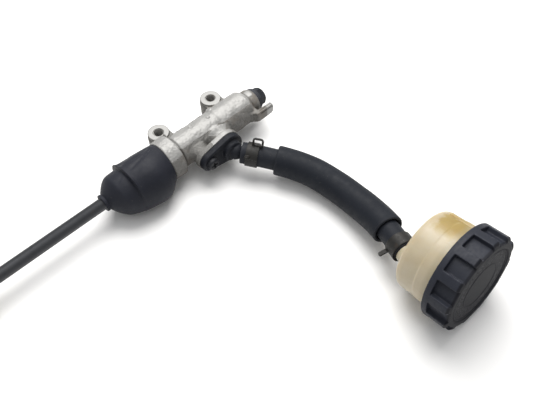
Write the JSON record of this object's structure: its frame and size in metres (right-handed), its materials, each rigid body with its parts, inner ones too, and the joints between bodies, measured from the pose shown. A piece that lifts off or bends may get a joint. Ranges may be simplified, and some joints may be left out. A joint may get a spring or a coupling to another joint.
{
  "type": "brake master cylinder",
  "caption": "Motorcycle rear brake master cylinder with lugged cast barrel, boot and push rod, and a remote screw-cap fluid reservoir on a sleeved hose.",
  "frame": {"origin": "midway between the two mounting hole axes, at the height of the barrel's axis", "axes": "+X along the barrel towards the fluid outlet, +Y from the barrel towards the mounting lugs, +Z along the mounting holes"},
  "size_m": [0.2279, 0.1989, 0.0542],
  "materials": {
    "cast_aluminium": "satin",
    "anodised_aluminium": "satin",
    "seal_rubber": "matte",
    "plain_steel": "satin",
    "zinc_steel": "satin",
    "black_steel": "satin",
    "boot_rubber": "matte",
    "black_plastic": "satin",
    "hose_rubber": "matte",
    "sleeve_rubber": "matte",
    "clamp_steel": "satin",
    "aged_nylon": "satin",
    "white_plastic": "satin",
    "cap_plastic": "satin"
  },
  "bodies": {
    "cylinder": {"cylinder_body": "cast_aluminium", "stop_washer": "zinc_steel", "snap_ring": "plain_steel", "dust_boot": "boot_rubber", "return_spring": "plain_steel", "plug_washer": "black_plastic", "outlet_plug": "black_plastic", "hose_connector": "black_plastic", "connector_o_ring": "seal_rubber", "connector_screw": "black_steel", "reservoir_hose": "hose_rubber", "hose_sleeve": "sleeve_rubber", "clamp_at_connector": "clamp_steel", "clamp_at_reservoir": "clamp_steel", "reservoir_cup": "aged_nylon"},
    "piston": {"piston": "anodised_aluminium", "primary_cup": "seal_rubber", "secondary_cup": "seal_rubber", "spring_seat": "plain_steel"},
    "rod": {"push_rod": "black_steel", "lock_nut": "zinc_steel", "clevis": "zinc_steel", "clevis_pin": "zinc_steel", "cotter_pin": "zinc_steel"},
    "lid": {"diaphragm": "seal_rubber", "diaphragm_plate": "white_plastic"},
    "cap": {"reservoir_cap": "cap_plastic"}
  },
  "joints": [
    {"name": "piston_stroke", "type": "slide", "parent": "cylinder", "child": "piston", "axis": [1, 0, 0], "range_m": [0, 0.012], "stiffness_N_per_m": 900, "springref_m": -0.01, "deforming": ["return_spring", "dust_boot"]},
    {"name": "rod_spin", "type": "hinge", "parent": "piston", "child": "rod", "pos_m": [-0.03, -0.0136, 0], "axis": [1, 0, 0], "continuous": true},
    {"name": "lid_lift", "type": "slide", "parent": "cylinder", "child": "lid", "axis": [-0.0532, -0.9829, 0.1762], "range_m": [0, 0.006]},
    {"name": "cap_turn", "type": "hinge", "parent": "lid", "child": "cap", "pos_m": [0.0255, -0.1743, 0.0103], "axis": [-0.0532, -0.9829, 0.1762], "range_deg": [0, 721]}
  ],
  "couplings": [
    {"joint": "cap_turn", "follows": "lid_lift", "rad_per_m": 2094.4}
  ]
}
